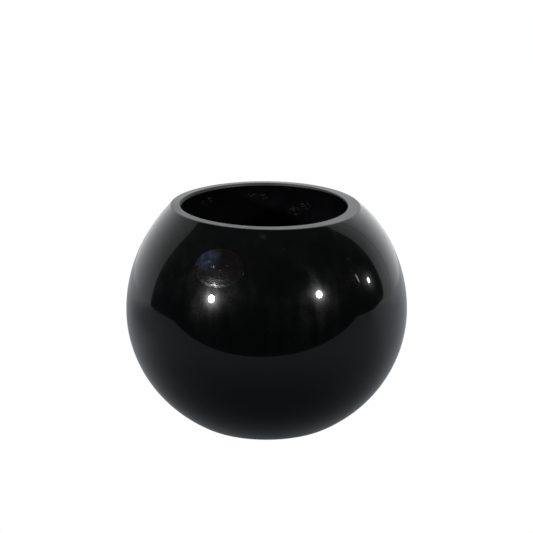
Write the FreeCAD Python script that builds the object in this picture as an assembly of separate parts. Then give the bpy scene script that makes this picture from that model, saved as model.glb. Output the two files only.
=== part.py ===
"""Round black clay pot with a wide mouth, and the oval clear label stuck on its shoulder.

Millimetres. +Z is up, the origin is the centre of the flat foot, and -Y is the front.
The wall is a surface of revolution: one half ellipse above the widest girth and another below it,
cut level at the foot and ground at the lip.
"""
import FreeCAD, Part
import math
import os

# Outer shape of the pot
GIRTH_RADIUS = 100.0          # widest radius, at the equator
SHOULDER_SEMI_HEIGHT = 102.0  # height of the shoulder's ellipse above the equator, if it closed
BELLY_SEMI_HEIGHT = 94.0      # depth of the belly's ellipse below the equator, if it closed
MOUTH_RADIUS = 59.0           # inner edge of the ground lip
FOOT_CORNER_RADIUS = 49.0     # where the belly's ellipse meets the plane of the foot, before rounding
FOOT_ROUND = 15.0             # radius that softens the corner of the foot

# Wall
WALL = 6.0                    # between the outer and inner ellipses
FLOOR_THICKNESS = 8.0
FLOOR_ROUND = 20.0            # radius between the inner floor and the wall

# Lip
LIP_SLOPE = 5.5               # degrees; the ground lip falls outwards
LIP_BEVEL_WIDTH = 0.4         # ground inner edge of the lip, nearly upright: measured across
LIP_BEVEL_DROP = 2.8          # and measured down
LIP_OUTER_ROUND = 1.2

# Foot
FOOT_RING_WIDTH = 12.0        # flat ring that the pot stands on, in from the corner's rounding
FOOT_DISH_DEPTH = 1.0         # shallow hollow inside the ring
FOOT_DISH_BEVEL = 2.0         # width of the slope between the ring and the hollow

# Oval label on the front left of the shoulder
LABEL_HALF_WIDTH = 18.0
LABEL_HALF_HEIGHT = 13.4
LABEL_THICKNESS = 1.0
LABEL_ANGLE = 22.3            # degrees from the front (-Y) towards -X
LABEL_ABOVE_EQUATOR = 53.5    # height of its centre over the girth

UP = FreeCAD.Vector(0, 0, 1)


def ellipse_height(radius, semi_radius, semi_height):
    """Distance from the equator to the ellipse at a given radius."""
    return semi_height * math.sqrt(1 - (radius / semi_radius) ** 2)


def ellipse_radius(height, semi_radius, semi_height):
    """Radius of the ellipse at a given distance from the equator."""
    return semi_radius * math.sqrt(1 - (height / semi_height) ** 2)


INNER_RADIUS = GIRTH_RADIUS - WALL
INNER_SHOULDER = SHOULDER_SEMI_HEIGHT - WALL
INNER_BELLY = BELLY_SEMI_HEIGHT - WALL

EQUATOR_Z = ellipse_height(FOOT_CORNER_RADIUS, GIRTH_RADIUS, BELLY_SEMI_HEIGHT)
BEVEL_RADIUS = MOUTH_RADIUS - LIP_BEVEL_WIDTH
BEVEL_Z = EQUATOR_Z + ellipse_height(BEVEL_RADIUS, INNER_RADIUS, INNER_SHOULDER)
LIP_Z = BEVEL_Z + LIP_BEVEL_DROP


def point(radius, z):
    """Point of the pot's half profile, in the XZ plane."""
    return FreeCAD.Vector(radius, 0, z)


def lip_outer_point():
    """Where the sloping lip line meets the outer ellipse."""
    fall = math.tan(math.radians(LIP_SLOPE))
    # z = top - fall * r along the line, put into (r / a)^2 + (z / b)^2 = 1
    top = LIP_Z - EQUATOR_Z + fall * MOUTH_RADIUS
    a = (1 / GIRTH_RADIUS) ** 2 + (fall / SHOULDER_SEMI_HEIGHT) ** 2
    b = -2 * top * fall / SHOULDER_SEMI_HEIGHT ** 2
    c = (top / SHOULDER_SEMI_HEIGHT) ** 2 - 1
    radius = (-b + math.sqrt(b * b - 4 * a * c)) / (2 * a)
    return point(radius, EQUATOR_Z + top - fall * radius)


def ellipse_arc(semi_radius, semi_height, start, end):
    """Edge of the ellipse round the equator's centre, between two points on one side of the equator."""
    centre = point(0, EQUATOR_Z)
    side = 1 if max(start.z, end.z) > EQUATOR_Z + 1e-6 else -1
    across = point(semi_radius, EQUATOR_Z)
    along = point(0, EQUATOR_Z + side * semi_height)
    if semi_radius >= semi_height:
        ellipse = Part.Ellipse(across, along, centre)
    else:
        ellipse = Part.Ellipse(along, across, centre)
    low, high = sorted((ellipse.parameter(start), ellipse.parameter(end)))
    return Part.ArcOfEllipse(ellipse, low, high).toShape()


def line(start, end):
    return Part.LineSegment(start, end).toShape()


def revolve(edges):
    """Full turn of a closed half profile about the pot's axis."""
    face = Part.Face(Part.Wire(edges))
    return face.revolve(FreeCAD.Vector(0, 0, 0), UP, 360)


def rounded(solid, radius, edge_radius, edge_z):
    """Rounds the circular edge that lies at a given radius and height."""
    for edge in solid.Edges:
        vertex = edge.Vertexes[0].Point
        seen_radius = math.hypot(vertex.x, vertex.y)
        is_circle = isinstance(edge.Curve, Part.Circle)
        if is_circle and abs(seen_radius - edge_radius) < 1e-4 and abs(vertex.z - edge_z) < 1e-4:
            return solid.makeFillet(radius, [edge])
    raise ValueError("no edge to round at radius %.2f, height %.2f" % (edge_radius, edge_z))


def pot_body():
    """The one-piece pot: foot, belly, shoulder and ground lip, hollow inside."""
    girth = point(GIRTH_RADIUS, EQUATOR_Z)
    foot_corner = point(FOOT_CORNER_RADIUS, 0)
    lip_outer = lip_outer_point()
    lip_inner = point(MOUTH_RADIUS, LIP_Z)
    bevel_end = point(BEVEL_RADIUS, BEVEL_Z)
    inner_girth = point(INNER_RADIUS, EQUATOR_Z)
    floor_corner_radius = ellipse_radius(EQUATOR_Z - FLOOR_THICKNESS, INNER_RADIUS, INNER_BELLY)
    floor_corner = point(floor_corner_radius, FLOOR_THICKNESS)

    solid = revolve([
        line(point(0, 0), foot_corner),
        ellipse_arc(GIRTH_RADIUS, BELLY_SEMI_HEIGHT, foot_corner, girth),
        ellipse_arc(GIRTH_RADIUS, SHOULDER_SEMI_HEIGHT, girth, lip_outer),
        line(lip_outer, lip_inner),
        line(lip_inner, bevel_end),
        ellipse_arc(INNER_RADIUS, INNER_SHOULDER, bevel_end, inner_girth),
        ellipse_arc(INNER_RADIUS, INNER_BELLY, inner_girth, floor_corner),
        line(floor_corner, point(0, FLOOR_THICKNESS)),
        line(point(0, FLOOR_THICKNESS), point(0, 0)),
    ])
    solid = rounded(solid, FLOOR_ROUND, floor_corner_radius, FLOOR_THICKNESS)
    solid = rounded(solid, LIP_OUTER_ROUND, lip_outer.x, lip_outer.z)
    solid = rounded(solid, FOOT_ROUND, FOOT_CORNER_RADIUS, 0)
    return solid.cut(foot_dish())


def foot_dish():
    """The shallow hollow cut into the foot, inside the ring that the pot stands on."""
    belly_slope = BELLY_SEMI_HEIGHT ** 2 * FOOT_CORNER_RADIUS / (GIRTH_RADIUS ** 2 * EQUATOR_Z)
    rounding_reach = FOOT_ROUND * math.tan(math.atan(belly_slope) / 2)
    mouth = FOOT_CORNER_RADIUS - rounding_reach - FOOT_RING_WIDTH
    return Part.makeCone(mouth, mouth - FOOT_DISH_BEVEL, FOOT_DISH_DEPTH)


def shoulder_solid(growth):
    """The shoulder's half ellipsoid above the equator, grown outwards by a thickness."""
    radius = GIRTH_RADIUS + growth
    height = SHOULDER_SEMI_HEIGHT + growth
    centre = point(0, EQUATOR_Z)
    girth = point(radius, EQUATOR_Z)
    crown = point(0, EQUATOR_Z + height)
    return revolve([line(centre, girth), ellipse_arc(radius, height, girth, crown), line(crown, centre)])


def label():
    """Oval clear label that follows the curve of the shoulder."""
    radius = ellipse_radius(LABEL_ABOVE_EQUATOR, GIRTH_RADIUS, SHOULDER_SEMI_HEIGHT)
    angle = math.radians(LABEL_ANGLE)
    outward = FreeCAD.Vector(-math.sin(angle), -math.cos(angle), 0)
    centre = outward * radius + UP * (EQUATOR_Z + LABEL_ABOVE_EQUATOR)
    steepness = LABEL_ABOVE_EQUATOR / SHOULDER_SEMI_HEIGHT ** 2
    normal = (outward * (radius / GIRTH_RADIUS ** 2) + UP * steepness).normalize()
    across = UP.cross(normal).normalize()
    up_slope = normal.cross(across)

    # The oval is pushed along the normal, deep enough to pass through the curved skin at its ends.
    reach = max(LABEL_HALF_WIDTH, LABEL_HALF_HEIGHT)
    start = centre - normal * reach
    end_points = (start + across * LABEL_HALF_WIDTH, start + up_slope * LABEL_HALF_HEIGHT)
    if LABEL_HALF_WIDTH < LABEL_HALF_HEIGHT:
        end_points = (end_points[1], end_points[0])
    oval = Part.Face(Part.Wire([Part.Ellipse(end_points[0], end_points[1], start).toShape()]))
    column = oval.extrude(normal * (2 * reach))
    skin = shoulder_solid(LABEL_THICKNESS).cut(shoulder_solid(0))
    return column.common(skin)


def save(shape, node):
    """Writes one named piece, as a single solid, to parts/NODE.step."""
    solid = shape.Solids[0]
    if len(shape.Solids) != 1 or not solid.isValid():
        raise ValueError("%s is not one valid solid" % node)
    solid.exportStep(os.path.join("parts", node + ".step"))
    box = solid.BoundBox
    print("%s: volume %.1f, x %.2f to %.2f, y %.2f to %.2f, z %.2f to %.2f" % (
        node, solid.Volume, box.XMin, box.XMax, box.YMin, box.YMax, box.ZMin, box.ZMax))


os.makedirs("parts", exist_ok=True)
save(pot_body(), "pot_body")
save(label(), "label")
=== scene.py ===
"""Finished surfaces, lighting and camera for the round black clay pot and its oval clear label.

Metres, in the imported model's frame: +Z up, the origin at the centre of the foot, -Y the front.
"""
import math

import bpy
from mathutils import Matrix, Vector, noise


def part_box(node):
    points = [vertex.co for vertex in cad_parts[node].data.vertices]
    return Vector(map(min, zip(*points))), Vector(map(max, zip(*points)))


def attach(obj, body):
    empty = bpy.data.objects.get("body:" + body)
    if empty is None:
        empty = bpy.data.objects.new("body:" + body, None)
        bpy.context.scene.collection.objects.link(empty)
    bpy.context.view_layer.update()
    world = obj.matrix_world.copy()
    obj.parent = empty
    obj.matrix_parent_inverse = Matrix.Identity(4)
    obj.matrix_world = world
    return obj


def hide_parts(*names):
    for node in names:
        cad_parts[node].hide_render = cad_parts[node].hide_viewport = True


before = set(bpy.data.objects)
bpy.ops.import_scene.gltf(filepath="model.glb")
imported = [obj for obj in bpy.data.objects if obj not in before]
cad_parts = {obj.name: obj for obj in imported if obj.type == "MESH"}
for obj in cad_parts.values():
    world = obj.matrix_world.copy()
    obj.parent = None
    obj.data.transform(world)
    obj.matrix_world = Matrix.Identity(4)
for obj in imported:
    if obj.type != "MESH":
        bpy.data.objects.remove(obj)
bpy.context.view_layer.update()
pot_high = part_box("pot_body")[1]
MM = 0.001

# ---------------------------------------------------------------- sizes of the pot
GIRTH_RADIUS = pot_high.x
LIP_MEAN_Z = 158.7 * MM                # mean height of the lip's inner edge
SHOULDER_SEMI_HEIGHT = 102 * MM
BELLY_SEMI_HEIGHT = 94 * MM
MOUTH_RADIUS = 59 * MM
FOOT_CORNER_RADIUS = 49 * MM
WALL = 6 * MM
FLOOR_THICKNESS = 8 * MM
LIP_SLOPE = math.radians(3)            # fall of the lip outwards, at the sides
LIP_SLOPE_TURN = math.radians(1.5)     # less at the front by this, and more at the back
LIP_BEVEL_WIDTH = 0.4 * MM
DISH_RADIUS = 33 * MM
DISH_BEVEL = 2 * MM
DISH_DEPTH = 1 * MM
EQUATOR_Z = BELLY_SEMI_HEIGHT * math.sqrt(1 - (FOOT_CORNER_RADIUS / GIRTH_RADIUS) ** 2)

# How far from each corner of the profile its rounding starts
FOOT_ROUND_REACH = 4 * MM
LIP_OUTER_REACH = 0.6 * MM
LIP_INNER_REACH = 0.25 * MM
FLOOR_ROUND_REACH = 12 * MM
DISH_REACH = 0.8 * MM

# Unevenness of a hand-shaped wall, small enough to stay in the CAD model's box
LEAN = 1.75 * MM          # the neck leans this far towards -X at the lip
LIP_TILT = 0.25 * MM      # the lip is ground lower at +X and higher at -X
LIP_TWIST = 0.65 * MM     # and more so at the front than at the back
LIP_SADDLE = 0.15 * MM    # and both sides are lower than the front and back
LEAN_POWER = 10           # how late the lean sets in, going up the shoulder
WAVE_DEPTH = 0.0012       # shallow waves in the outer wall, as a share of its radius
WAVE_SCALE = 21           # and how many there are in a metre

TURNS = 360               # faces round the pot

# ---------------------------------------------------------------- sizes of the label
LABEL_HALF_WIDTH = 18 * MM
LABEL_HALF_HEIGHT = 13.4 * MM
LABEL_ANGLE = math.radians(22.3)
LABEL_ABOVE_EQUATOR = 53.5 * MM
LABEL_MOST = 0.98 * MM      # thickest it may be
LABEL_GAP = 0.01 * MM       # least height of its face over the wall
LABEL_SINK = 0.02 * MM      # depth of its back under the wall's surface

# The label's face, with distances measured in from its edge
LABEL_LIP_RISE, LABEL_LIP_WIDTH = 0.12 * MM, 0.25 * MM
LABEL_BAND = (0.9 * MM, 2.1 * MM, 0.07 * MM)       # sloping band: from, to, rise
LABEL_GROOVE = (2.7 * MM, 0.32 * MM, 0.1 * MM)     # groove on the lower side: place, half width, depth
LABEL_STEP = (3.8 * MM, 5.6 * MM, 0.06 * MM)       # second slope: from, to, rise
LABEL_CROWN = (0.1 * MM, 0.8)                      # slow rise all the way to the middle: rise, power
LABEL_NICK = (-1.0 * MM, 1.1 * MM, 1.6)            # softer band at the bottom: across, half width, power
CRINKLE_RISE = 0.03 * MM
CRINKLE_SCALE = 260                                # how many there are in a metre
CRINKLE_SLICE = 3.1 * MM                           # the slice of the noise that they follow
CRINKLE_START = 3 * MM                             # full crinkles from this far in

# Small raised blisters under the label: across, up, radius, height
LABEL_BLISTERS = [
    (-3.5 * MM, 1.7 * MM, 1.3 * MM, 0.42 * MM),
    (-5.2 * MM, 1.0 * MM, 0.5 * MM, 0.14 * MM),
    (6.2 * MM, 2.9 * MM, 0.6 * MM, 0.17 * MM),
    (1.9 * MM, -0.7 * MM, 0.6 * MM, 0.11 * MM),
    (-8.2 * MM, 4.0 * MM, 0.5 * MM, 0.22 * MM),
    (-7.6 * MM, 4.6 * MM, 0.5 * MM, 0.26 * MM),
    (-7.0 * MM, 5.2 * MM, 0.5 * MM, 0.26 * MM),
    (-6.4 * MM, 5.8 * MM, 0.4 * MM, 0.2 * MM),
    (-3.0 * MM, 7.0 * MM, 0.5 * MM, 0.18 * MM),
    (2.6 * MM, -5.6 * MM, 0.7 * MM, 0.06 * MM),
    (17.0 * MM, 1.0 * MM, 0.5 * MM, 0.2 * MM),
]
# painted sheen: the film has lifted here, and a bluish violet sheen is painted into its colour
LABEL_LIFT_SHEEN = (-9.5 * MM, 6.5 * MM, 11 * MM)   # where the film has lifted: across, up, radius
LABEL_TURNS = 240          # faces round the label
LABEL_RINGS = 88           # rings of points from its edge to its middle
LABEL_EDGE_RINGS = 34      # of them, rings of faces with the edge's material
LABEL_RING_POWER = 1.6     # above 1, the rings are finer near the edge

# ---------------------------------------------------------------- camera
CAMERA_DISTANCE = 1.499
CAMERA_ELEVATION = math.radians(17.92)
CAMERA_PITCH = math.radians(16.79)
CAMERA_ROLL = math.radians(-0.2)
CAMERA_LENS, CAMERA_SENSOR = 141.84, 36       # millimetres


# ================================================================ profile of the wall
def ellipse_run(semi_radius, semi_height, start, end, steps):
    """Points of an ellipse round the equator, between two angles above it."""
    run = []
    for i in range(steps + 1):
        angle = start + (end - start) * i / steps
        run.append((semi_radius * math.cos(angle), EQUATOR_Z + semi_height * math.sin(angle)))
    return run


def straight_run(start, end, steps):
    """Points of a straight line, both ends included."""
    return [tuple(a + (b - a) * i / steps for a, b in zip(start, end)) for i in range(steps + 1)]


def trimmed(run, reach):
    """The run without its first stretch of the given length."""
    left = reach
    for i in range(1, len(run)):
        gap = math.dist(run[i - 1], run[i])
        if gap > left:
            share = left / gap
            cut = tuple(a + (b - a) * share for a, b in zip(run[i - 1], run[i]))
            return [cut] + run[i:]
        left -= gap
    return [run[-1]]


def rounded_join(first, second, reach, steps=8):
    """Joins two runs that share a corner, with the corner rounded."""
    corner = second[0]
    before = trimmed(first[::-1], reach)[::-1]
    after = trimmed(second, reach)
    start, end = before[-1], after[0]
    curve = []
    for i in range(1, steps):
        t = i / steps
        weights = ((1 - t) ** 2, 2 * t * (1 - t), t ** 2)
        curve.append(tuple(sum(w * p[k] for w, p in zip(weights, (start, corner, end))) for k in (0, 1)))
    return before + curve + after


def lip_height(angle):
    """Height of the lip's inner edge at an angle from +X towards +Y."""
    east, north = math.cos(angle), math.sin(angle)
    saddle = LIP_SADDLE * (east ** 2 - north ** 2)
    return LIP_MEAN_Z - LIP_TILT * east - LIP_TWIST * east * (1 - north) - saddle


def lip_slope(angle):
    """Fall of the lip outwards at an angle from +X towards +Y."""
    return LIP_SLOPE + LIP_SLOPE_TURN * math.sin(angle)


def lip_outer_corner(lip_z, slope):
    """Where the sloping lip meets the outer ellipse."""
    fall = math.tan(slope)
    top = lip_z - EQUATOR_Z + fall * MOUTH_RADIUS
    a = (1 / GIRTH_RADIUS) ** 2 + (fall / SHOULDER_SEMI_HEIGHT) ** 2
    b = -2 * top * fall / SHOULDER_SEMI_HEIGHT ** 2
    c = (top / SHOULDER_SEMI_HEIGHT) ** 2 - 1
    radius = (-b + math.sqrt(b * b - 4 * a * c)) / (2 * a)
    return radius, EQUATOR_Z + top - fall * radius


def wall_profile(angle):
    """Half profile at an angle: from the foot's centre, round the outside and lip, to the floor's centre."""
    inner_radius = GIRTH_RADIUS - WALL
    inner_shoulder = SHOULDER_SEMI_HEIGHT - WALL
    inner_belly = BELLY_SEMI_HEIGHT - WALL
    lip_z = lip_height(angle)
    lip_outer = lip_outer_corner(lip_z, lip_slope(angle))
    lip_inner = (MOUTH_RADIUS, lip_z)
    bevel_angle = math.acos((MOUTH_RADIUS - LIP_BEVEL_WIDTH) / inner_radius)
    floor_angle = -math.asin((EQUATOR_Z - FLOOR_THICKNESS) / inner_belly)
    foot_angle = -math.acos(FOOT_CORNER_RADIUS / GIRTH_RADIUS)
    lip_angle = math.acos(lip_outer[0] / GIRTH_RADIUS)

    dish_edge = (DISH_RADIUS, 0)
    dish_floor = (DISH_RADIUS - DISH_BEVEL, DISH_DEPTH)
    foot_corner = (FOOT_CORNER_RADIUS, 0)
    belly = ellipse_run(GIRTH_RADIUS, BELLY_SEMI_HEIGHT, foot_angle, 0, steps=62)
    shoulder = ellipse_run(GIRTH_RADIUS, SHOULDER_SEMI_HEIGHT, 0, lip_angle, steps=48)
    inside_upper = ellipse_run(inner_radius, inner_shoulder, bevel_angle, 0, steps=40)
    inside_lower = ellipse_run(inner_radius, inner_belly, 0, floor_angle, steps=40)
    floor_corner = inside_lower[-1]

    dish = straight_run((0, DISH_DEPTH), dish_floor, steps=6)
    dish_slope = straight_run(dish_floor, dish_edge, steps=3)
    foot_ring = straight_run(dish_edge, foot_corner, steps=5)
    lip = straight_run(lip_outer, lip_inner, steps=8)
    lip_edge = straight_run(lip_inner, inside_upper[0], steps=4)
    floor = straight_run(floor_corner, (0, FLOOR_THICKNESS), steps=14)

    profile = rounded_join(dish, dish_slope, DISH_REACH, steps=4)
    profile = rounded_join(profile, foot_ring, DISH_REACH, steps=4)
    profile = rounded_join(profile, belly + shoulder[1:], FOOT_ROUND_REACH)
    profile = rounded_join(profile, lip, LIP_OUTER_REACH)
    profile = rounded_join(profile, lip_edge, LIP_INNER_REACH, steps=4)
    profile = rounded_join(profile, inside_upper + inside_lower[1:], LIP_INNER_REACH, steps=4)
    profile = rounded_join(profile, floor, FLOOR_ROUND_REACH)
    return profile


def handmade(point, inside=False):
    """Moves a point of the ideal wall to where a hand-shaped wall has it."""
    x, y, z = point
    above = max(0.0, z - EQUATOR_Z) / (LIP_MEAN_Z - EQUATOR_Z)
    if not inside:
        wave = 0.5 + 0.5 * noise.noise(Vector((x, y, z)) * WAVE_SCALE)
        shrink = 1 - WAVE_DEPTH * wave
        x *= shrink
        y *= shrink
    x -= LEAN * above ** LEAN_POWER
    return Vector((x, y, z))


# ================================================================ meshes
def new_object(name, points, faces, smooth=True):
    """A new object in the scene, from points and faces."""
    mesh = bpy.data.meshes.new(name)
    mesh.from_pydata([tuple(p) for p in points], [], faces)
    mesh.polygons.foreach_set("use_smooth", [smooth] * len(mesh.polygons))
    mesh.validate()
    mesh.update()
    piece = bpy.data.objects.new(name, mesh)
    bpy.context.scene.collection.objects.link(piece)
    return piece


def ring_faces(rings, count):
    """Quads between successive rings of points, each ring closed."""
    faces = []
    for ring in range(rings - 1):
        low = ring * count
        high = low + count
        for i in range(count):
            j = (i + 1) % count
            faces.append((low + i, low + j, high + j, high + i))
    return faces


def make_pot():
    """The wall turned round the axis, with its own lip height at each angle."""
    angles = [2 * math.pi * i / TURNS for i in range(TURNS)]
    profiles = [wall_profile(angle) for angle in angles]
    count = len(profiles[0])
    top = max(range(count), key=lambda row: profiles[0][row][1])
    points = []
    for row in range(1, count - 1):
        for angle, profile in zip(angles, profiles):
            radius, z = profile[row]
            ideal = (radius * math.cos(angle), radius * math.sin(angle), z)
            points.append(handmade(ideal, inside=row > top))
    rings = count - 2
    faces = ring_faces(rings, TURNS)
    foot_centre = len(points)
    floor_centre = foot_centre + 1
    last = (rings - 1) * TURNS
    points.append(Vector((0, 0, profiles[0][0][1])))
    points.append(Vector((0, 0, profiles[0][-1][1])))
    for i in range(TURNS):
        j = (i + 1) % TURNS
        faces.append((foot_centre, j, i))
        faces.append((floor_centre, last + i, last + j))
    pot = new_object("pot_wall", points, faces)
    mark_regions(pot, profiles[0][1:-1], lip_outer_corner(lip_height(0), lip_slope(0))[1])
    return pot


# The pot's materials, in the order of its material slots
GLOSS, INSIDE, GROUND, LAND = 0, 1, 2, 3
LIP_REGION_DROP = 0.2 * MM      # the ground lip starts this far below its outer corner at +X
LAND_REGION_DROP = 1.2 * MM     # and the ground inner edge ends this far below that corner
FOOT_REGION_TOP = 0.02 * MM     # the ground foot ring is lower than this


def mark_regions(pot, rings, lip_outer_z):
    """Gives each ring its material: gloss outside or inside, or ground at the lip, its edge and the foot."""
    top = max(range(len(rings)), key=lambda row: rings[row][1])
    materials = []
    for index in range(len(rings) - 1):
        radius = (rings[index][0] + rings[index + 1][0]) / 2
        z = (rings[index][1] + rings[index + 1][1]) / 2
        on_lip = z > lip_outer_z - LIP_REGION_DROP
        on_foot = z < FOOT_REGION_TOP and radius > DISH_RADIUS
        on_land = z > lip_outer_z - LAND_REGION_DROP and radius > MOUTH_RADIUS - LIP_BEVEL_WIDTH
        if index < top:
            slot = GROUND if on_lip or on_foot else GLOSS
        else:
            slot = LAND if on_land else INSIDE
        materials.extend([slot] * TURNS)
    materials.extend([GLOSS, INSIDE] * TURNS)
    pot.data.polygons.foreach_set("material_index", materials)


# ================================================================ label
def label_frame():
    """Centre of the label on the shoulder, and its directions across, up and outwards."""
    radius = GIRTH_RADIUS * math.sqrt(1 - (LABEL_ABOVE_EQUATOR / SHOULDER_SEMI_HEIGHT) ** 2)
    outward = Vector((-math.sin(LABEL_ANGLE), -math.cos(LABEL_ANGLE), 0))
    centre = outward * radius + Vector((0, 0, EQUATOR_Z + LABEL_ABOVE_EQUATOR))
    steepness = LABEL_ABOVE_EQUATOR / SHOULDER_SEMI_HEIGHT ** 2
    normal = (outward * (radius / GIRTH_RADIUS ** 2) + Vector((0, 0, steepness))).normalized()
    across = Vector((0, 0, 1)).cross(normal).normalized()
    return centre, across, normal.cross(across), normal


INSIDE_START = 20 * MM      # lines that look for the shoulder start this far inside it


def on_shoulder(point, direction):
    """Where a line from a point inside the shoulder comes out through it."""
    centre = Vector((0, 0, EQUATOR_Z))
    squash = Vector((1 / GIRTH_RADIUS, 1 / GIRTH_RADIUS, 1 / SHOULDER_SEMI_HEIGHT))
    p = (point - centre) * squash
    d = direction * squash
    a, b, c = d.dot(d), 2 * p.dot(d), p.dot(p) - 1
    return point + direction * ((-b + math.sqrt(b * b - 4 * a * c)) / (2 * a))


def bead(depth, width):
    """Rises from 0 to 1 over a width, as a quarter round."""
    share = min(1.0, max(0.0, depth / width))
    return math.sqrt(1 - (1 - share) ** 2)


def ramp(depth, start, end):
    """Rises evenly from 0 at one depth to 1 at another."""
    return min(1.0, max(0.0, (depth - start) / (end - start)))


def label_thickness(u, v, depth):
    """Height of the label's face over the wall, at a depth in from its edge."""
    height = LABEL_LIP_RISE * bead(depth, LABEL_LIP_WIDTH)

    across, half_width, power = LABEL_NICK
    nick = math.exp(-((u - across) / half_width) ** 2) if v < 0 else 0.0
    start, end, rise = LABEL_BAND
    height += rise * ramp(depth, start, end) ** (1 + power * nick)

    place, half_width, fall = LABEL_GROOVE
    low_side = ramp(-v, 0, LABEL_HALF_HEIGHT / 2)
    height -= fall * low_side * math.exp(-((depth - place) / half_width) ** 2)

    start, end, rise = LABEL_STEP
    height += rise * ramp(depth, start, end)
    rise, power = LABEL_CROWN
    height += rise * min(1.0, depth / LABEL_HALF_HEIGHT) ** power

    crinkle = noise.noise(Vector((u, v, CRINKLE_SLICE)) * CRINKLE_SCALE)
    height += CRINKLE_RISE * crinkle * min(1.0, depth / CRINKLE_START)

    for across, up, radius, rise in LABEL_BLISTERS:
        away = math.hypot(u - across, v - up) / radius
        height += rise * math.exp(-away ** 2)
    return min(height, LABEL_MOST)


def label_rings(frame_of_label):
    """Points of the label's face, ring by ring from its edge, and of the first and last ring of its back."""
    centre, across, up, normal = frame_of_label
    face, back = [], []
    for ring in range(LABEL_RINGS):
        share = 1 - (ring / LABEL_RINGS) ** LABEL_RING_POWER
        for i in range(LABEL_TURNS):
            angle = 2 * math.pi * i / LABEL_TURNS
            edge_u = LABEL_HALF_WIDTH * math.cos(angle)
            edge_v = LABEL_HALF_HEIGHT * math.sin(angle)
            u = edge_u * share
            v = edge_v * share
            depth = (1 - share) * math.hypot(edge_u, edge_v)
            wall = handmade(on_shoulder(centre + across * u + up * v - normal * INSIDE_START, normal))
            face.append(wall + normal * (label_thickness(u, v, depth) + LABEL_GAP))
            if ring in (0, LABEL_RINGS - 1):
                back.append(wall - normal * LABEL_SINK)
    return face, back


def make_label():
    """Oval label as a closed solid: a shaped face, its edge, and a plain back on the wall."""
    directions = label_frame()
    centre, _, _, normal = directions
    face, back = label_rings(directions)
    wall = handmade(on_shoulder(centre - normal * INSIDE_START, normal))
    face_centre = wall + normal * (label_thickness(0, 0, LABEL_HALF_HEIGHT) + LABEL_GAP)
    back_centre = wall - normal * LABEL_SINK
    points = face + back + [face_centre, back_centre]

    outer_back = len(face)
    inner_back = outer_back + LABEL_TURNS
    innermost = (LABEL_RINGS - 1) * LABEL_TURNS
    faces = ring_faces(LABEL_RINGS, LABEL_TURNS)
    for i in range(LABEL_TURNS):
        j = (i + 1) % LABEL_TURNS
        faces.append((outer_back + i, i, j, outer_back + j))
        faces.append((inner_back + i, inner_back + j, outer_back + j, outer_back + i))
    for i in range(LABEL_TURNS):
        j = (i + 1) % LABEL_TURNS
        faces.append((innermost + i, innermost + j, len(points) - 2))
        faces.append((inner_back + j, inner_back + i, len(points) - 1))

    piece = new_object("clear_label", points, faces)
    edge_faces = LABEL_EDGE_RINGS * LABEL_TURNS
    slots = [1] * edge_faces + [0] * (len(faces) - edge_faces)
    piece.data.polygons.foreach_set("material_index", slots)
    return piece


# ================================================================ material helpers
MIX_COLOURS = (6, 7)       # a Mix node's sockets for its two colours
MIX_RESULT = 2             # and for the mixed colour
SPECK_HEART = 0.4          # a speck is full out to this share of its size
BALL_HEART = 0.3           # and a ball to this share of its radius


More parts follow.
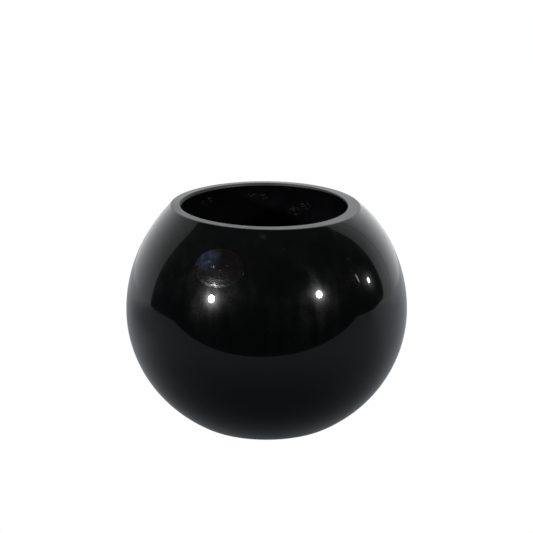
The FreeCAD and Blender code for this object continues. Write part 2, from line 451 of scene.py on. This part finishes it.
class Shader:
    """A material's node tree, with short calls for the nodes used here."""

    def __init__(self, name):
        self.material = bpy.data.materials.new(name)
        self.material.use_nodes = True
        self.nodes = self.material.node_tree.nodes
        self.links = self.material.node_tree.links
        self.surface = self.nodes["Principled BSDF"]
        self.place = self.nodes.new("ShaderNodeTexCoord").outputs["Object"]

    def set(self, **values):
        """Sets the surface's own sockets, named with _ for each space."""
        for name, value in values.items():
            self.surface.inputs[name.replace("_", " ")].default_value = value

    def wire(self, output, name):
        """Feeds one of the surface's sockets."""
        self.links.new(output, self.surface.inputs[name])

    def stretched(self, scale):
        """The place on the object, scaled along each axis."""
        mapping = self.nodes.new("ShaderNodeMapping")
        mapping.inputs["Scale"].default_value = scale
        self.links.new(self.place, mapping.inputs["Vector"])
        return mapping.outputs["Vector"]

    def noise(self, scale, detail, stretch=(1, 1, 1), distortion=0.0):
        """Cloudy pattern round 0.5, with so many clouds in a metre."""
        node = self.nodes.new("ShaderNodeTexNoise")
        node.inputs["Scale"].default_value = scale
        node.inputs["Detail"].default_value = detail
        node.inputs["Distortion"].default_value = distortion
        self.links.new(self.stretched(stretch), node.inputs["Vector"])
        return node.outputs["Fac"]

    def specks(self, scale, size):
        """1 in dots of a given share of their spacing, soft at the edge, and 0 between them."""
        node = self.nodes.new("ShaderNodeTexVoronoi")
        node.inputs["Scale"].default_value = scale
        self.links.new(self.place, node.inputs["Vector"])
        return self.ranged(node.outputs["Distance"], (size, size * SPECK_HEART))

    def ranged(self, value, span, to=(0, 1)):
        """Turns one span of a value into another, and holds it at both ends."""
        node = self.nodes.new("ShaderNodeMapRange")
        node.inputs["From Min"].default_value = span[0]
        node.inputs["From Max"].default_value = span[1]
        node.inputs["To Min"].default_value = to[0]
        node.inputs["To Max"].default_value = to[1]
        self.links.new(value, node.inputs["Value"])
        return node.outputs["Result"]

    def raised(self, low, high):
        """0 up to a low height over the table, 1 from a high one."""
        split = self.nodes.new("ShaderNodeSeparateXYZ")
        self.links.new(self.place, split.inputs["Vector"])
        return self.ranged(split.outputs["Z"], (low, high))

    def ball(self, centre, radius):
        """1 close to a place, 0 from a radius round it."""
        node = self.nodes.new("ShaderNodeVectorMath")
        node.operation = "DISTANCE"
        self.links.new(self.place, node.inputs[0])
        node.inputs[1].default_value = centre
        return self.ranged(node.outputs["Value"], (radius * BALL_HEART, radius), to=(1, 0))

    def marks(self, table, wall=0.0):
        """1 at each mark of a table of places round the pot, and 0 away from them."""
        share = 0.0
        for turn, height, radius in table:
            semi_height = SHOULDER_SEMI_HEIGHT if height > EQUATOR_Z else BELLY_SEMI_HEIGHT
            rise = (height - EQUATOR_Z) / (semi_height - wall)
            reach = (GIRTH_RADIUS - wall) * math.sqrt(1 - rise ** 2)
            angle = math.radians(turn)
            mark = self.ball((reach * math.sin(angle), -reach * math.cos(angle), height), radius)
            share = self.math("MAXIMUM", share, mark)
        return share

    def math(self, operation, a, b):
        """Combines two values, each a number or another node's output."""
        node = self.nodes.new("ShaderNodeMath")
        node.operation = operation
        for socket, value in zip(node.inputs, (a, b)):
            if isinstance(value, (int, float)):
                socket.default_value = value
            else:
                self.links.new(value, socket)
        return node.outputs["Value"]

    def mixed(self, share, colour_a, colour_b):
        """A mix of two colours, each a tuple or another node's output."""
        node = self.nodes.new("ShaderNodeMix")
        node.data_type = "RGBA"
        self.links.new(share, node.inputs["Factor"])
        for index, colour in zip(MIX_COLOURS, (colour_a, colour_b)):
            socket = node.inputs[index]
            if isinstance(colour, tuple):
                socket.default_value = (*colour, 1)
            else:
                self.links.new(colour, socket)
        return node.outputs[MIX_RESULT]

    def bump(self, height, distance, strength):
        """Fine relief on the surface, of a given height."""
        node = self.nodes.new("ShaderNodeBump")
        node.inputs["Distance"].default_value = distance
        node.inputs["Strength"].default_value = strength
        self.links.new(height, node.inputs["Height"])
        self.wire(node.outputs["Normal"], "Normal")


# Small dull dust marks on the outside, the two low at the front a painted reflection: degrees from the front
# towards +X, height, radius
OUTSIDE_MARKS_AND_REFLECTION = [
    (41, 137 * MM, 1.3 * MM),
    (9, 148 * MM, 1 * MM),
    (-2, 155 * MM, 3 * MM),
    # painted reflection: these two pale marks low at the front stand in for a reflection
    (-1, 7.5 * MM, 3 * MM),
    (3, 8 * MM, 3.5 * MM),
]
BLACK = (0.0013, 0.0014, 0.0018)
DUSTY = (0.0058, 0.0060, 0.0064)
# pale grey of the dust specks and marks, and of the painted reflection low at the front
SPECK_AND_REFLECTION_GREY = (0.03, 0.031, 0.03)
DUST_START, DUST_FULL = 95 * MM, 150 * MM     # the dust film sets in up the shoulder


def gloss_black():
    """Mirror-polished black clay: a clear sharp gloss over a faint haze of wipe marks, light dust, and a
    small painted reflection low at the front.
    """
    shader = Shader("polished_black")
    wipes = shader.noise(120, detail=3, stretch=(1, 1, 0.09), distortion=0.3)
    mottle = shader.noise(900, detail=2)
    smears = shader.noise(55, detail=3, distortion=0.5)
    patches = shader.noise(14, detail=2)

    # the haze: wipe marks down the wall, broken up at three scales
    haze = shader.math("MULTIPLY", shader.ranged(wipes, (0.3, 0.75), to=(0.3, 1.6)),
                       shader.ranged(mottle, (0.35, 0.65), to=(0.75, 1.25)))
    haze = shader.math("MULTIPLY", haze, shader.ranged(patches, (0.3, 0.7), to=(0.6, 1.4)))
    haze = shader.math("MULTIPLY", haze, shader.ranged(smears, (0.35, 0.65), to=(0.7, 1.3)))
    shader.wire(shader.ranged(haze, (0.1, 2.2), to=(0.12, 0.37)), "Roughness")

    # the dust: a film on the shoulder, specks all over, and a few small dull marks; the two marks low at the
    # front are a painted reflection
    settled = shader.math("MULTIPLY", shader.raised(DUST_START, DUST_FULL),
                          shader.ranged(smears, (0.3, 0.7), to=(0.5, 1.5)))
    # the marks include the painted reflection low at the front, in the same pale grey as the specks
    marks_and_reflection = shader.math("MULTIPLY", shader.marks(OUTSIDE_MARKS_AND_REFLECTION),
                       shader.ranged(mottle, (0.4, 0.6), to=(0.1, 0.9)))
    specks = shader.math("MAXIMUM", shader.specks(170, 0.045), marks_and_reflection)
    film = shader.mixed(settled, BLACK, DUSTY)
    shader.wire(shader.mixed(specks, film, SPECK_AND_REFLECTION_GREY), "Base Color")
    shader.set(Specular_IOR_Level=0.14, Coat_Weight=0.86, Coat_Roughness=0.025, Coat_IOR=1.5)
    return shader.material


# Painted reflections of the lamps inside the pot, high on its back wall: degrees from the front, height,
# radius
INSIDE_REFLECTION_SPOTS = [
    (218, 147 * MM, 8 * MM),
    (189, 147 * MM, 4 * MM),
    (182, 146 * MM, 5 * MM),
    (165, 133 * MM, 6 * MM),
    (158, 139 * MM, 6 * MM),
]
INSIDE_THIN_FILM = (0.008, 0.008, 0.0105)
INSIDE_THICK_FILM = (0.014, 0.014, 0.0165)
# painted reflection: the pale colour of the lamps' reflections on the inside back wall
PAINTED_REFLECTION_GREY = (0.12, 0.115, 0.1)


def inside_black():
    """The same gloss inside, under a film of dust, with pale painted reflections of the lamps high on its
    back wall.
    """
    shader = Shader("polished_black_inside")
    # painted reflections of the lamps, as pale spots broken up by noise
    reflection_breakup = shader.ranged(shader.noise(330, detail=4, distortion=0.8), (0.5, 0.66))
    painted_reflection_spots = shader.math("MULTIPLY", shader.marks(INSIDE_REFLECTION_SPOTS, WALL), reflection_breakup)
    drying = shader.ranged(shader.noise(38, detail=4, distortion=0.8), (0.35, 0.7))
    film = shader.mixed(drying, INSIDE_THIN_FILM, INSIDE_THICK_FILM)
    shader.wire(shader.mixed(painted_reflection_spots, film, PAINTED_REFLECTION_GREY), "Base Color")
    shader.wire(shader.ranged(drying, (0, 1), to=(0.16, 0.3)), "Roughness")
    shader.set(Coat_Weight=0.8, Coat_Roughness=0.03, Specular_IOR_Level=0.1)
    return shader.material


GROUND_DARK, GROUND_PALE = (0.012, 0.013, 0.013), (0.03, 0.031, 0.031)
EDGE_DARK, EDGE_PALE = (0.05, 0.053, 0.045), (0.11, 0.115, 0.1)


def ground_black():
    """Fine ground clay of the lip and foot ring: satin and slightly grey."""
    shader = Shader("ground_black")
    grit = shader.noise(2200, detail=2)
    sweep = shader.noise(30, detail=2)
    shader.wire(shader.mixed(grit, GROUND_DARK, GROUND_PALE), "Base Color")
    shader.wire(shader.ranged(sweep, (0.3, 0.7), to=(0.2, 0.3)), "Roughness")
    shader.bump(grit, 0.02 * MM, strength=0.3)
    return shader.material


def land_grey():
    """The upright inner edge of the lip, ground coarser than its top: a dull greenish grey."""
    shader = Shader("ground_inner_edge")
    grit = shader.noise(1500, detail=3)
    shader.wire(shader.mixed(grit, EDGE_DARK, EDGE_PALE), "Base Color")
    shader.set(Roughness=0.5)
    shader.bump(grit, 0.04 * MM, strength=0.4)
    return shader.material


FILM_DOWN = (0.0082, 0.0064, 0.0068)
# painted sheen: the bluish violet of the lifted film is a thin-film sheen painted into the colour
FILM_LIFTED_SHEEN = (0.042, 0.047, 0.082)


def label_film(name, roughness, specular):
    """Clear satin film over black: brownish black, with a painted bluish violet sheen where it has lifted.
    """
    shader = Shader(name)
    centre, across, up, _ = label_frame()
    lift_sheen_across, lift_sheen_up, lift_sheen_radius = LABEL_LIFT_SHEEN
    # painted sheen: bluish violet painted where the film has lifted, broken up by a cloud
    lifted_sheen = shader.ball(centre + across * lift_sheen_across + up * lift_sheen_up, lift_sheen_radius)
    cloud = shader.noise(210, detail=4, distortion=0.8)
    lifted_sheen = shader.math("MULTIPLY", lifted_sheen, shader.ranged(cloud, (0.35, 0.65), to=(0.4, 1.4)))
    shader.wire(shader.mixed(lifted_sheen, FILM_DOWN, FILM_LIFTED_SHEEN), "Base Color")
    spread = (roughness * 0.85, roughness * 1.2)
    shader.wire(shader.ranged(cloud, (0.3, 0.7), to=spread), "Roughness")
    shader.set(Coat_Weight=0.1, Coat_Roughness=0.06, Specular_IOR_Level=specular)
    shader.bump(shader.noise(420, detail=4, stretch=(1, 1, 3)), 0.12 * MM, strength=0.7)
    return shader.material


# ================================================================ staging
def stage_only(obj, camera=False, glossy=True, diffuse=True):
    """Says which rays see a stage object. None of them casts a shadow."""
    obj.visible_camera = camera
    obj.visible_glossy = glossy
    obj.visible_diffuse = diffuse
    obj.visible_transmission = glossy
    obj.visible_shadow = False


def glowing(name, by_point=False, tint=(1, 1, 1)):
    """Material that glows evenly, or by each point's own glow value."""
    material = bpy.data.materials.new(name)
    material.use_nodes = True
    nodes, links = material.node_tree.nodes, material.node_tree.links
    nodes.clear()
    emission = nodes.new("ShaderNodeEmission")
    emission.inputs["Strength"].default_value = 1.0
    emission.inputs["Color"].default_value = (*tint, 1)
    output = nodes.new("ShaderNodeOutputMaterial")
    links.new(emission.outputs["Emission"], output.inputs["Surface"])
    if by_point:
        glow = nodes.new("ShaderNodeAttribute")
        glow.attribute_name = "glow"
        links.new(glow.outputs["Fac"], emission.inputs["Strength"])
    return material


def sheet(name, place, steps_a, steps_b, glow, tint):
    """Stage sheet from a function of two shares, with its glow given by a function of place."""
    points, faces, values = [], [], []
    for i in range(steps_a + 1):
        for j in range(steps_b + 1):
            point = place(i / steps_a, j / steps_b)
            points.append(point)
            values.append(glow(point))
    for i in range(steps_a):
        for j in range(steps_b):
            k = i * (steps_b + 1) + j
            faces.append((k, k + 1, k + steps_b + 2, k + steps_b + 1))
    obj = new_object(name, points, faces, smooth=False)
    attribute = obj.data.attributes.new("glow", "FLOAT", "POINT")
    attribute.data.foreach_set("value", values)
    obj.data.materials.append(glowing(name + "_light", by_point=True, tint=tint))
    return obj


ROOM = (0.018, 0.020, 0.020)
BACKDROP_Y = 0.6
BACKDROP_LEFT = -2.1
BACKDROP_RIGHT = 1.6
BACKDROP_TOP = 1.9
BACKDROP_TINT = (0.98, 1.0, 1.02)
TABLE_TINT = (0.95, 1.0, 1.06)
FLOOR_REACH = 6            # half the floor's width
FLOOR_SINK = 0.1 * MM      # the floor lies this far below the pot's foot
SHADE_RADIUS = 0.09        # where the pot shades the table most
PATCH_X = 0.25             # middle of the backdrop's bright patch

# Outline of the white sheet on the table: (y, x) along each side, from the corner nearest the camera
TABLE_LEFT_SIDE = [(-0.62, 2.60), (-0.60, 2.10), (-0.41, 0.90), (-0.35, 0.41), (-0.30, 0.03),
                   (-0.285, -0.16), (-0.283, -1.13), (-0.10, -1.22), (0.33, -1.25), (BACKDROP_Y, -2.10)]
TABLE_RIGHT_SIDE = [(-0.62, 2.70), (0.10, 1.70), (BACKDROP_Y, 2.40)]


def ease(value, low, high):
    """Rises smoothly from 0 at a low value to 1 at a high one."""
    share = min(1.0, max(0.0, (value - low) / (high - low)))
    return share * share * (3 - 2 * share)


def ridge(value, place, half_width):
    """1 at a place and falling off to both sides of it."""
    return math.exp(-((value - place) / half_width) ** 2)


def along(table, key):
    """Value at a key, between the rows of a sorted table of pairs."""
    for (k0, v0), (k1, v1) in zip(table, table[1:]):
        if key <= k1:
            share = max(0.0, (key - k0) / (k1 - k0))
            return v0 + (v1 - v0) * share
    return table[-1][1]


def table_glow(point):
    """Light off the table: dim before and close to the pot, brighter to the backdrop, with two creases."""
    x, y = point.x, point.y
    light = 0.205
    light += 0.11 * ease(y, -0.08, 0.06)                               # behind the pot's front
    light += 0.15 * ease(y, 0.2, 0.5)                                  # close to the backdrop
    light += 0.04 * ease(y, 0.05, 0.2) * ease(x, -0.1, 0.1)            # rear right
    light -= 0.11 * ease(-x, 0.2, 0.4) * ease(y, -0.05, 0.05) * (1 - ease(y, 0.15, 0.4))   # far left

    # the pot's own shade, deepest under its girth and in front of it
    away = math.hypot(x, y)
    front = 0.5 - 0.5 * y / max(away, 1e-6)
    reach = 0.12 if away > SHADE_RADIUS else 0.08
    shade = 0.68 * math.exp(-(abs(away - SHADE_RADIUS) / reach) ** 1.5) * front

    creases = 0.3 * ridge(x, 1.05, 0.05) + 0.12 * ridge(x, 0.42, 0.02)
    return light * (1 - shade) * (1 - creases * ease(y, 0.15, 0.3))


def backdrop_glow(point):
    """Light off the backdrop: a broad bright patch right of its middle, fading upwards, and a seam."""
    spread = 0.6 if point.x > PATCH_X else 0.95
    patch = 0.6 * ridge(point.x, PATCH_X, spread)
    fade = 1 - 0.22 * ease(point.z, 0.2, 0.8) - 0.08 * (1 - ease(point.z, 0.0, 0.15))
    seam_x = 0.87 + 0.28 * math.exp(-point.z / 0.09)                   # it bends right above the table
    seam = 0.3 * ridge(point.x, seam_x, 0.04)
    return (0.42 + patch) * fade * (1 - seam)


def table_place(share, across):
    """Point of the white sheet, row by row from its nearest corner back to the backdrop."""
    nearest = TABLE_LEFT_SIDE[0][0]
    y = nearest + (BACKDROP_Y - nearest) * share
    left, right = along(TABLE_LEFT_SIDE, y), along(TABLE_RIGHT_SIDE, y)
    return Vector((left + (right - left) * across, y, 0))


def backdrop_place(across, share):
    """Point of the backdrop, which widens to the right where it meets the table."""
    height = BACKDROP_TOP * share
    right = BACKDROP_RIGHT + 0.5 * math.exp(-height / 0.06)
    return Vector((BACKDROP_LEFT + (right - BACKDROP_LEFT) * across, BACKDROP_Y, height))


def make_stage():
    """White floor for the camera, and the lit table and backdrop that the gloss reflects."""
    corners = [(x * FLOOR_REACH, y * FLOOR_REACH, 0) for x, y in ((-1, -1), (1, -1), (1, 1), (-1, 1))]
    floor = new_object("floor", corners, [(0, 1, 2, 3)], smooth=False)
    floor.location.z = -FLOOR_SINK
    floor.data.materials.append(glowing("floor_white"))
    stage_only(floor, camera=True, glossy=False, diffuse=False)

    stage_only(sheet("table_reflection", table_place, 240, 200, table_glow, TABLE_TINT))
    stage_only(sheet("backdrop_reflection", backdrop_place, 360, 40, backdrop_glow, BACKDROP_TINT))


def lamp(name, azimuth, elevation, distance, radiance, width, height=None):
    """A lamp round the pot: degrees from the front towards +X, and above it. The camera doesn't see it."""
    data = bpy.data.lights.new(name, "AREA")
    data.shape = "DISK" if height is None else "RECTANGLE"
    data.size = width
    area = math.pi * width ** 2 / 4
    if height is not None:
        data.size_y = height
        area = width * height
    data.energy = radiance * math.pi * area
    obj = bpy.data.objects.new(name, data)
    bpy.context.scene.collection.objects.link(obj)
    a, e = math.radians(azimuth), math.radians(elevation)
    way = Vector((math.sin(a) * math.cos(e), -math.cos(a) * math.cos(e), math.sin(e)))
    obj.location = Vector((0, 0, EQUATOR_Z)) + way * distance
    obj.rotation_euler = way.to_track_quat("Z", "Y").to_euler()
    obj.visible_camera = False


def make_world():
    """White to the camera, and a dim room to everything else."""
    world = bpy.data.worlds.new("room")
    bpy.context.scene.world = world
    world.use_nodes = True
    nodes, links = world.node_tree.nodes, world.node_tree.links
    nodes.clear()
    seen = nodes.new("ShaderNodeLightPath").outputs["Is Camera Ray"]
    white = nodes.new("ShaderNodeBackground")
    room = nodes.new("ShaderNodeBackground")
    white.inputs["Color"].default_value = (1, 1, 1, 1)
    room.inputs["Color"].default_value = (*ROOM, 1)
    mix = nodes.new("ShaderNodeMixShader")
    output = nodes.new("ShaderNodeOutputWorld")
    links.new(seen, mix.inputs["Fac"])
    links.new(room.outputs["Background"], mix.inputs[1])
    links.new(white.outputs["Background"], mix.inputs[2])
    links.new(mix.outputs["Shader"], output.inputs["Surface"])


def make_camera():
    """Camera a little above the pot, turned down to it."""
    data = bpy.data.cameras.new("camera")
    data.lens = CAMERA_LENS
    data.sensor_width = CAMERA_SENSOR
    camera = bpy.data.objects.new("camera", data)
    bpy.context.scene.collection.objects.link(camera)
    back = Vector((0, -math.cos(CAMERA_ELEVATION), math.sin(CAMERA_ELEVATION)))
    camera.location = Vector((0, 0, EQUATOR_Z)) + back * CAMERA_DISTANCE
    pitch = Matrix.Rotation(math.pi / 2 - CAMERA_PITCH, 4, "X")
    camera.rotation_euler = (pitch @ Matrix.Rotation(CAMERA_ROLL, 4, "Z")).to_euler()
    bpy.context.scene.camera = camera


# ================================================================ build
pot = make_pot()
for made in (gloss_black(), inside_black(), ground_black(), land_grey()):
    pot.data.materials.append(made)
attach(pot, "root")
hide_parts("pot_body")

label = make_label()
label.data.materials.append(label_film("clear_label_film", roughness=0.26, specular=0.17))
label.data.materials.append(label_film("clear_label_edge", roughness=0.26, specular=0.28))
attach(label, "root")
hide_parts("label")

make_stage()
lamp("lamp_left", -46.7, 18.1, distance=1.692, radiance=180, width=0.155)
lamp("lamp_right", 45.0, 21.3, distance=1.693, radiance=125, width=0.145)
lamp("lamp_side", 96.2, 12.7, distance=1.669, radiance=45, width=0.06, height=0.085)
lamp("lamp_strip", 85.8, 18.8, distance=1.67, radiance=20, width=0.008, height=0.14)
make_world()
make_camera()

scene = bpy.context.scene
scene.view_settings.view_transform = "Standard"
